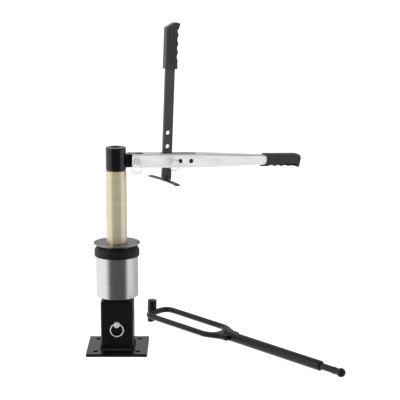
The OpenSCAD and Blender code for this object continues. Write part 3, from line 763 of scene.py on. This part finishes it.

# %% [markdown]
# ## The lever
# The lever is a channel pressed from 3 mm sheet, open below, with a slot for the tongue, a slot
# for the arm and three pairs of pin holes. It is modelled the way it is pressed: the section is
# drawn as three lines and extruded along the lever, the two folds are bevelled to their bending
# radius, the flat walls are punched, and last the sheet gets its thickness. Its inner faces are
# marked and get a painted shade: a dark tone that stands in for the shadow inside the channel.

# %% Pressed channel
SHEET, FOLD = 3, 4.5
TAPER_FROM, TAPER_TO, CHANNEL_END, CHANNEL_BACK = 189, 368, 470, 13
GRIP_W, GRIP_H = 26, 27
END_SLOT, TONGUE_SLOT_W = 25, 24
ARM_SLOT = (72.5, 177, 18)
bm = bmesh.new()
section = [bm.verts.new((-CHANNEL_BACK, y * CHANNEL_W / 2, z * CHANNEL_H / 2))
           for y, z in ((-1, -1), (-1, 1), (1, 1), (1, -1))]
loop = [bm.edges.new(pair) for pair in zip(section, section[1:])]
taper = (1, GRIP_W / CHANNEL_W, GRIP_H / CHANNEL_H)
for step, shrink in ((TAPER_FROM + CHANNEL_BACK, (1, 1, 1)), (TAPER_TO - TAPER_FROM, taper),
                     (CHANNEL_END - TAPER_TO, (1, 1, 1))):
    loop, verts = pull(bm, loop)
    bmesh.ops.scale(bm, vec=shrink, verts=verts)
    bmesh.ops.translate(bm, vec=(step, 0, 0), verts=verts)
bmesh.ops.recalc_face_normals(bm, faces=bm.faces)
folds = [edge for edge in bm.edges if len(edge.link_faces) == 2 and edge.calc_face_angle() > 1]
bmesh.ops.bevel(bm, geom=folds, offset=FOLD, offset_type="OFFSET", segments=5, profile=0.5,
                affect="EDGES", clamp_overlap=True, material=-1)
bm.normal_update()

for side in (-1, 1):
    drill(bm, (0, side, 0), [ring(bm, PIN_HOLE_R, moved(x, side * CHANNEL_W / 2, 0) @ turned(90, "X"))
                             for x in (0, ARM_S, ARM_S + HOLE_PITCH, ARM_S + 2 * HOLE_PITCH)])
level = [face for face in bm.faces if abs(face.normal.z) > 0.99 and face.calc_center_median().x < TAPER_FROM]
web = max(level, key=lambda face: face.calc_area())
border = list(web.edges)
inner_end = min(border, key=lambda edge: edge.verts[0].co.x + edge.verts[1].co.x)
corners = sorted(inner_end.verts, key=lambda vert: vert.co.y)
bmesh.ops.delete(bm, geom=[web], context="FACES_ONLY")
bm.edges.remove(inner_end)
half = TONGUE_SLOT_W / 2
top = CHANNEL_H / 2
slot_points = [(-CHANNEL_BACK, -half, top), (END_SLOT, -half, top), (END_SLOT, half, top),
               (-CHANNEL_BACK, half, top)]
slot_verts = [corners[0]] + [bm.verts.new(point) for point in slot_points] + [corners[1]]
slot_edges = [bm.edges.new(pair) for pair in zip(slot_verts, slot_verts[1:])]
slot_from, slot_to, slot_w = ARM_SLOT
half = slot_w / 2
arm_slot = outline(bm, [((x, y, top), half * ROUND_END) for x, y in
                        ((slot_from, -half), (slot_to, -half), (slot_to, half), (slot_from, half))])
punch(bm, [edge for edge in border if edge.is_valid] + slot_edges + arm_slot)
bmesh.ops.recalc_face_normals(bm, faces=bm.faces)
highest = max(bm.faces, key=lambda face: face.calc_center_median().z)
if highest.normal.z < 0:
    bmesh.ops.reverse_faces(bm, faces=bm.faces)
bmesh.ops.solidify(bm, geom=bm.faces[:], thickness=SHEET)
# Marks the faces inside the channel, which the lever's finish darkens as a painted shade.
inner = bm.faces.layers.float.new("inner")
for face in bm.faces:
    x, y, z = face.calc_center_median()
    shrink = min(max((x - TAPER_FROM) / (TAPER_TO - TAPER_FROM), 0), 1)
    half_w = (CHANNEL_W + (GRIP_W - CHANNEL_W) * shrink) / 2
    half_h = (CHANNEL_H + (GRIP_H - CHANNEL_H) * shrink) / 2
    face[inner] = 1 if abs(y) < half_w - SHEET / 4 and z < half_h - SHEET / 4 else 0
soften(bm, 0.45, angle=50)
hand_over(bm, "pressed_channel", "lever", lever_plate, "lever_channel", place=LEVER)

# %% [markdown]
# ## The lever's grip
# The grip is a moulded rubber sleeve: four finger hollows below, a rounded end, and a mouth that
# opens like a shallow bell round the channel. Its side view is drawn with the hollows as arcs,
# pulled to its width and rounded all along. The mouth's end is then stretched forward so that
# the upper and lower lips reach further than the middle, and a socket is pushed into it.

# %% Finger hollows
FINGER_R, FINGERS = 16, 4


def hollows(first, pitch, edge_level, depth, steps=8):
    """Points (along, across) of the finger hollows in an edge, cut to a depth by a round finger."""
    reach = sqrt(FINGER_R ** 2 - (FINGER_R - depth) ** 2)
    points = []
    for finger in range(FINGERS):
        for i in range(steps + 1):
            x = reach * (2 * i / steps - 1)
            rise = sqrt(FINGER_R ** 2 - x ** 2) - (FINGER_R - depth)
            points.append((first + finger * pitch + x, edge_level + rise))
    return points


# %% Moulded lever grip
GRIP_FROM, GRIP_TO, GRIP_TOP, GRIP_LOW, GRIP_WIDTH = 368, 486, 16.5, -18, 31
FIRST_FINGER, FINGER_PITCH, FINGER_DEPTH = 29.5, 20.5, 3
HEEL_FROM, HEEL_LOW, HEEL_BACK = 470, -21.7, 4
MOUTH_R, MOUTH_X, MOUTH_Z, BODY_FROM, SOCKET_END = 19.65, 362.35, 0.7, 384, 398
bm = bmesh.new()
lower = hollows(GRIP_FROM + FIRST_FINGER, FINGER_PITCH, GRIP_LOW, FINGER_DEPTH)
corners = flat_corners([(BODY_FROM, GRIP_TOP), (BODY_FROM, GRIP_LOW)]) + flat_corners(lower)
corners += flat_corners([(HEEL_FROM, GRIP_LOW), (GRIP_TO - HEEL_BACK, HEEL_LOW), (GRIP_TO, GRIP_TOP - 12),
                         (GRIP_TO, GRIP_TOP)])
bm.faces.new([bm.verts.new(point) for point, reach in corners])
top_end = max(bm.verts, key=lambda vert: vert.co.x + vert.co.z)
heel = max(bm.verts, key=lambda vert: vert.co.x - 2 * vert.co.z)
for vert, reach in ((top_end, 11.9), (heel, 4)):
    bmesh.ops.bevel(bm, geom=[vert], offset=reach, offset_type="OFFSET", segments=8,
                    profile=0.5, affect="VERTICES", material=-1)
bmesh.ops.translate(bm, vec=(0, -GRIP_WIDTH / 2, 0), verts=bm.verts)
thicken(bm, (0, GRIP_WIDTH, 0))
bmesh.ops.recalc_face_normals(bm, faces=bm.faces)
rims = [edge for edge in bm.edges if any(abs(face.normal.y) > 0.99 for face in edge.link_faces)
        and not all(abs(face.normal.y) > 0.99 for face in edge.link_faces)
        and not all(abs(vert.co.x - BODY_FROM) < 0.01 for vert in edge.verts)]
bmesh.ops.bevel(bm, geom=rims, offset=5, offset_type="OFFSET", segments=5, profile=0.5, affect="EDGES",
                clamp_overlap=False, material=-1)
bm.normal_update()
front = max((face for face in bm.faces if face.normal.x < -0.99), key=lambda face: face.calc_area())
mouth = list(front.edges)
bmesh.ops.delete(bm, geom=[front], context="FACES_ONLY")
sides = [edge for edge in mouth if edge.calc_length() > 15]
bmesh.ops.subdivide_edges(bm, edges=sides, cuts=9)
mouth = [edge for edge in bm.edges if len(edge.link_faces) == 1]


mouth, verts = pull(bm, mouth)
for vert in verts:
    vert.co.x = max(MOUTH_X + sqrt(max(MOUTH_R ** 2 - (vert.co.z - MOUTH_Z) ** 2, 0)), GRIP_FROM)
mouth, verts = pull(bm, mouth)
for vert in verts:
    vert.co.y = max(-GRIP_W / 2 - 0.2, min(GRIP_W / 2 + 0.2, vert.co.y * 0.86))
    vert.co.z = max(-GRIP_H / 2 - 0.2, min(GRIP_H / 2 + 0.2, vert.co.z))
    vert.co.x = MOUTH_X + sqrt(MOUTH_R ** 2 - (vert.co.z - MOUTH_Z) ** 2) + 1
mouth, verts = pull(bm, mouth)
for vert in verts:
    vert.co.x = SOCKET_END
bmesh.ops.edgeloop_fill(bm, edges=mouth)
hand_over(bm, "moulded_lever_grip", "lever", grip_rubber, "lever_grip", place=LEVER, sharp_angle=48)

# %% [markdown]
# ## The arm
# The arm is a flat bar that stands through the lever's slot. Three holes let its reach be set.
# At its foot a curved shoe hangs under two ribs and pushes on the tyre's bead, and at its top it
# has a hard moulded grip with a nose and finger hollows.

# %% Flat bar
ARM_W, ARM_T, ARM_BELOW, ARM_TOP, ARM_HOLE_PITCH = 25.5, 12, 55, 354, 37
bm = bmesh.new()
edges = outline(bm, flat_corners([(-ARM_W / 2, -ARM_BELOW), (ARM_W / 2, -ARM_BELOW), (ARM_W / 2, ARM_TOP),
                                  (-ARM_W / 2, ARM_TOP)]))
for i in range(3):
    edges += ring(bm, PIN_HOLE_R, moved(0, 0, i * ARM_HOLE_PITCH) @ turned(90, "X"))
punch(bm, edges)
bmesh.ops.translate(bm, vec=(0, -ARM_T / 2, 0), verts=bm.verts)
thicken(bm, (0, ARM_T, 0))
soften(bm, 0.8, segments=2)
hand_over(bm, "flat_arm_bar", "arm", arm_coat, "breaker_arm", place=ARM)

# %% [markdown]
# The grip's broad faces have long shallow grooves, which stop a wet hand from slipping and keep
# the moulding from sinking. Each face is taken out and filled again round the groove outlines,
# and the outlines are pushed in.

# %% Moulded arm grip
AGRIP_FROM, AGRIP_TO, AGRIP_LEFT, AGRIP_RIGHT, AGRIP_T = 247, 370, -16, 17, 26
AGRIP_FIRST_FINGER, AGRIP_PITCH, AGRIP_DEPTH, NOSE_FROM = 33, 23, 2.5, 352
GROOVES = [(-8, 280, 338, 1.9), (2.5, 266, 349, 1.9), (11.2, 284, 336, 1.3)]  # place, from, to, half width
GROOVE_DEPTH = 1.4
bm = bmesh.new()
fingers = hollows(AGRIP_FROM + AGRIP_FIRST_FINGER, AGRIP_PITCH, -AGRIP_RIGHT, AGRIP_DEPTH)
profile = [(AGRIP_LEFT, AGRIP_FROM), (AGRIP_RIGHT, AGRIP_FROM)]
profile += [(-across, along) for along, across in fingers]
profile += [(AGRIP_RIGHT, NOSE_FROM), (AGRIP_RIGHT + 4, AGRIP_TO - 4), (AGRIP_RIGHT + 2.2, AGRIP_TO),
            (AGRIP_RIGHT - 10, AGRIP_TO), (AGRIP_LEFT, NOSE_FROM + 4)]
bm.faces.new([bm.verts.new((x, -AGRIP_T / 2, z)) for x, z in profile])
thicken(bm, (0, AGRIP_T, 0))
bmesh.ops.recalc_face_normals(bm, faces=bm.faces)
rims = [edge for edge in bm.edges if edge.calc_face_angle() > radians(60) and
        any(abs(face.normal.y) > 0.99 for face in edge.link_faces)]
bmesh.ops.bevel(bm, geom=rims, offset=2.4, offset_type="OFFSET", segments=3, profile=0.5, affect="EDGES",
                clamp_overlap=True, material=-1)
bm.normal_update()
for side in (-1, 1):
    loops = [outline(bm, [((x + dx, side * AGRIP_T / 2, z), half * 0.98) for dx, z in
                          ((-half, low), (half, low), (half, high), (-half, high))])
             for x, low, high, half in GROOVES]
    drill(bm, (0, side, 0), loops)
    for loop in loops:
        floor_loop, verts = pull(bm, loop)
        bmesh.ops.translate(bm, vec=(0, -side * GROOVE_DEPTH, 0), verts=verts)
        bmesh.ops.edgeloop_fill(bm, edges=floor_loop)
soften(bm, 0.5, angle=42)
hand_over(bm, "moulded_arm_grip", "arm", grip_rubber, "arm_grip", place=ARM)

# %% [markdown]
# The shoe is a flat bar bent edgewise to a wide curve, so that it lies along the bead under the
# arm's end. An edge as long as the bar is wide is spun round the bend's centre, which gives the
# curved sheet at once, and then it is thickened. The ribs are small triangles that stand on it
# at both sides of the arm, with a weld bead at the foot of each.

# %% Bead shoe
SHOE_L, SHOE_W, SHOE_T, BEND_R, SHOE_TURN = 160, 14, 4, 420, 10
bm = bmesh.new()
opening = 2 * asin(SHOE_L / 2 / (BEND_R + SHOE_W / 2))
line = [bm.verts.new((BEND_R + across, 0, -ARM_BELOW - SHOE_T)) for across in (-SHOE_W / 2, SHOE_W / 2)]
line.append(bm.edges.new(line))
bmesh.ops.rotate(bm, verts=bm.verts, cent=(0, 0, 0), matrix=Matrix.Rotation(-opening / 2, 3, "Z"))
bmesh.ops.spin(bm, geom=line, cent=(0, 0, 0), axis=(0, 0, 1), dvec=(0, 0, 0), angle=opening, steps=28,
               use_merge=False, use_normal_flip=False, use_duplicate=False)
thicken(bm, (0, 0, SHOE_T))
bmesh.ops.translate(bm, vec=(-BEND_R, 0, 0), verts=bm.verts)
soften(bm, 0.9, segments=3)
hand_over(bm, "curved_shoe", "arm", arm_coat, "bead_shoe", place=ARM @ turned(SHOE_TURN, "Z"))

RIB_FROM, RIB_L, RIB_H, RIB_T = 6, 14, 14, 5
bm = bmesh.new()
for side in (-1, 1):
    foot, tip = side * RIB_FROM, side * (RIB_FROM + RIB_L)
    triangle = ((foot, 0), (tip, 0), (foot, RIB_H))
    punch(bm, outline(bm, [((-RIB_T / 2, y, z - ARM_BELOW), 0) for y, z in triangle]))
thicken(bm, (RIB_T, 0, 0))
soften(bm, 0.5)
for side in (-1, 1):
    for face in (-1, 1):
        start = moved(face * (RIB_T / 2 + 0.2), side * (RIB_FROM + 1), -ARM_BELOW + 0.4)
        start = start @ turned(90 * side, "Z")
        sweep(bm, circle_points(1.2, 8), rippled(walk(start, [("run", RIB_L - 3, 15)])))
hand_over(bm, "shoe_ribs", "arm", arm_coat, "shoe_gussets", place=ARM, sharp_angle=60)

# %% [markdown]
# ## Pins and pull rings
# Three plain pins with chamfered ends hold the base, the lever and the arm. Each head has a
# flared cross hole for a pull ring. The flare where cones meet a round head is hard to draw
# again and already exact in the measured model, so a copy of each pin is merged and shaded
# smooth. The rings are bent wire: a small circle spun round a big one.

# %% Pins
for node in ("base_pin", "pivot_pin", "arm_pin"):
    bm = bmesh.new()
    bm.from_mesh(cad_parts[node].data)
    bmesh.ops.scale(bm, vec=(1000, 1000, 1000), verts=bm.verts)
    bmesh.ops.remove_doubles(bm, verts=bm.verts, dist=0.002)
    hand_over(bm, node.replace("pin", "pull_pin"), node, zinc_pin, node, sharp_angle=30)

# %% Pull rings
WIRE_R, HEAD_MIDDLE, BASE_RING_R, BASE_RING_RISE, SMALL_RING_R, SMALL_RING_DROP = 1.5, 6, 17.5, 2, 14, 4


def wire_ring(which, radius, place):
    """A ring that hangs from its hole at the place's origin."""
    bm = bmesh.new()
    lathe(bm, [(radius + y, z) for x, y, z in circle_points(WIRE_R, 16)], steps=64)
    middle = place @ moved(0, 0, -radius) @ turned(90, "X")
    hand_over(bm, which + "_wire_ring", which + "_ring", zinc_pin, which + "_pin_ring", place=middle,
              sharp_angle=60)


wire_ring("base", BASE_RING_R, moved(0, -RECEIVER_W / 2 - HEAD_MIDDLE, BASE_PIN_Z + BASE_RING_RISE))
wire_ring("pivot", SMALL_RING_R, LEVER @ moved(0, -CHANNEL_W / 2 - HEAD_MIDDLE, -SMALL_RING_DROP))
wire_ring("arm", SMALL_RING_R, LEVER @ moved(ARM_S, -CHANNEL_W / 2, 0) @ turned(-50, "Y")
          @ moved(0, -HEAD_MIDDLE, -SMALL_RING_DROP))

# %% [markdown]
# ## The mounting bar
# The loose bar is a rod bent to a long narrow loop, welded to a tube, with a lipped post at one
# end and a ball at the other. The loop is one rod, so it is swept along one path: runs and
# bends, walked like a turtle. The walk starts at one weld, goes round the loop and comes back.

# %% Bent loop
RAIL_R, RAIL_Y, TUBE_R, WELD_X, WELD_RUN = 7.95, 43, 13.35, 306, 12
NECK_X, NECK_R, END_X, END_R = 258, 30, 20, 23
weld_y = TUBE_R + RAIL_R
spread = degrees(atan2(RAIL_Y - weld_y, WELD_X - NECK_X))
tangent = NECK_R * tan(radians(spread) / 2)
slope = sqrt((WELD_X - NECK_X) ** 2 + (RAIL_Y - weld_y) ** 2) - 2 * tangent
rail = NECK_X - tangent - END_X - END_R
out = [("run", WELD_RUN, 1), ("bend", NECK_R, -spread, 6), ("run", slope, 1), ("bend", NECK_R, spread, 6),
       ("run", rail, 1), ("bend", END_R, 90, 12)]
back = [out[5], out[4], out[3], out[2], out[1], out[0]]
start = moved(WELD_X + tangent + WELD_RUN, weld_y, 0) @ turned(180, "Z")
stations = walk(start, out + [("run", 2 * (RAIL_Y - END_R), 1)] + back)
bm = bmesh.new()
sweep(bm, circle_points(RAIL_R, 32), stations)
soften(bm, 0.8, segments=3, angle=60)
hand_over(bm, "bent_rod_loop", "mount_bar", bar_coat, "bar_loop", place=BAR, sharp_angle=50)

# %% Crotch plate
TUBE_FROM, WEB_DEEP, WEB_T, WEB_TIP, WEB_GAP = 302, 273, 6, 6, 0.15
inner = RAIL_Y - RAIL_R
bend_r = NECK_R - RAIL_R - WEB_GAP
bm = bmesh.new()
angles = [asin(WEB_TIP / inner) + i * 0.1 for i in range(14)]
side = [(WEB_DEEP - inner + inner * sin(angle), inner * cos(angle)) for angle in angles]
bend = [(NECK_X - tangent + bend_r * sin(radians(spread) * i / 4),
         RAIL_Y - NECK_R + bend_r * cos(radians(spread) * i / 4)) for i in range(5)]
root = bend[-1][1] - (TUBE_FROM - bend[-1][0]) * tan(radians(spread))
upper = [(WEB_DEEP, 0)] + side[::-1] + bend + [(TUBE_FROM, root)]
edges = outline(bm, [((x, y, -WEB_T / 2), 0) for x, y in upper + [(x, -y) for x, y in upper[:0:-1]]])
punch(bm, edges)
thicken(bm, (0, 0, WEB_T))
soften(bm, 0.5)
hand_over(bm, "crotch_plate", "mount_bar", bar_coat, "bar_web", place=BAR)

# %% Tube, head and ball end
TUBE_TO, TUBE_WALL, POST_R, POST_TOP, TOE_RISE = 645, 2.5, 13, 31, 10
toe_slope = TOE_RISE / (2 * POST_R)
tilt = radians(bar_tilt)
toe_low = POST_R * (sqrt(toe_slope ** 2 + tan(tilt) ** 2) - toe_slope) - BAR_HEAD_Z / cos(tilt)
bm = bmesh.new()
lathe(bm, tube_section(TUBE_R - TUBE_WALL, TUBE_R, TUBE_FROM, TUBE_TO), steps=64)
soften(bm, 1.4, segments=3, angle=60, where=lambda edge: edge.verts[0].co.xy.length > 10)
hand_over(bm, "drawn_tube", "mount_bar", bar_coat, "bar_tube", place=BAR @ ABOUT_X)

bm = bmesh.new()
lathe(bm, [(0, toe_low), (POST_R, toe_low), (POST_R, POST_TOP), (0, POST_TOP)], steps=64)
slant = Vector((0, TOE_RISE, -2 * POST_R)).normalized()
cut = bmesh.ops.bisect_plane(bm, geom=bm.verts[:] + bm.edges[:] + bm.faces[:], plane_co=(0, -POST_R, toe_low),
                             plane_no=slant, clear_outer=True)
bmesh.ops.holes_fill(bm, edges=picked(cut["geom_cut"], bmesh.types.BMEdge), sides=0)
soften(bm, 1.5, segments=4, angle=50)
hand_over(bm, "lipped_head_post", "mount_bar", bar_coat, "bar_head_post", "bar_head_toe", place=BAR)

ROD_R, BALL_STEPS = 8.75, 14
RIDGE_R, RIDGE_FROM, RIDGE_TO = 9.6, 688, 693.5
meet = asin(ROD_R / BALL_R)
angles = [meet + (pi - meet) * i / BALL_STEPS for i in range(BALL_STEPS)]
ball = [(BALL_R * sin(angle), BAR_LENGTH - BALL_R * cos(angle)) for angle in angles]
bm = bmesh.new()
lathe(bm, [(0, TUBE_TO - 12), (ROD_R, TUBE_TO - 12), (ROD_R, RIDGE_FROM), (RIDGE_R, RIDGE_FROM + 1),
           (RIDGE_R, RIDGE_TO - 1), (ROD_R, RIDGE_TO)] + ball + [(0, BAR_LENGTH + BALL_R)], steps=64)
hand_over(bm, "ball_end_rod", "mount_bar", bar_coat, "bar_end", place=BAR @ ABOUT_X, sharp_angle=50)

# %% Welds of the mounting bar
bm = bmesh.new()
for across in (-1, 1):
    for face in (-1, 1):
        start = moved(TUBE_FROM + 2, across * (TUBE_R + 0.6), face * 5.2)
        sweep(bm, circle_points(2.8, 8), rippled(walk(start, [("run", 24, 24)])))
for face in (-1, 1):
    start = moved(TUBE_FROM - 0.5, -12, face * 3.6) @ turned(90, "Z")
    sweep(bm, circle_points(2.6, 8), rippled(walk(start, [("run", 24, 24)])))
for place, radius in ((TUBE_TO + 0.4, ROD_R + 0.9), (TUBE_FROM, TUBE_R - 0.6)):
    start = moved(place, 0, -radius) @ turned(90, "Y") @ turned(90, "Z")
    sweep(bm, circle_points(1.7, 8), rippled(walk(start, [("bend", radius, 360, 60)])[:-1]), closed=True)
for end in (-1, 1):
    start = moved(END_X - 6, end * (POST_R - 1.5), 4.4)
    sweep(bm, circle_points(2.2, 8), rippled(walk(start @ turned(20 * end, "Z"), [("run", 12, 12)])))
hand_over(bm, "bar_weld_beads", "mount_bar", bar_coat, place=BAR, sharp_angle=60)

# %% [markdown]
# ## Parts that stay as measured
# The plate, washer and nut inside the drum are seen only from below. Their measured shapes are
# right, so they keep them and only get their finishes.

# %% Finishes on the measured parts
kept = {"column_top_plate": black_powder_coat, "shaft_washer": zinc_plate, "shaft_nut": zinc_plate}
for node, finish in kept.items():
    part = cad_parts[node]
    part.data.materials.clear()
    part.data.materials.append(finish)
print("kept as measured:", list(kept))

# %% [markdown]
# Dressing a part must not make it bigger. The box of the measured model and the box of what is
# shown now are written side by side.

# %% Sizes and the end
shown_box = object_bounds()
growth = [[round(1000 * (b - a), 2) for a, b in zip(low, high)] for low, high in zip(cad_box, shown_box)]
print("grown by, mm:", growth)
print(len(finished), "finished pieces")
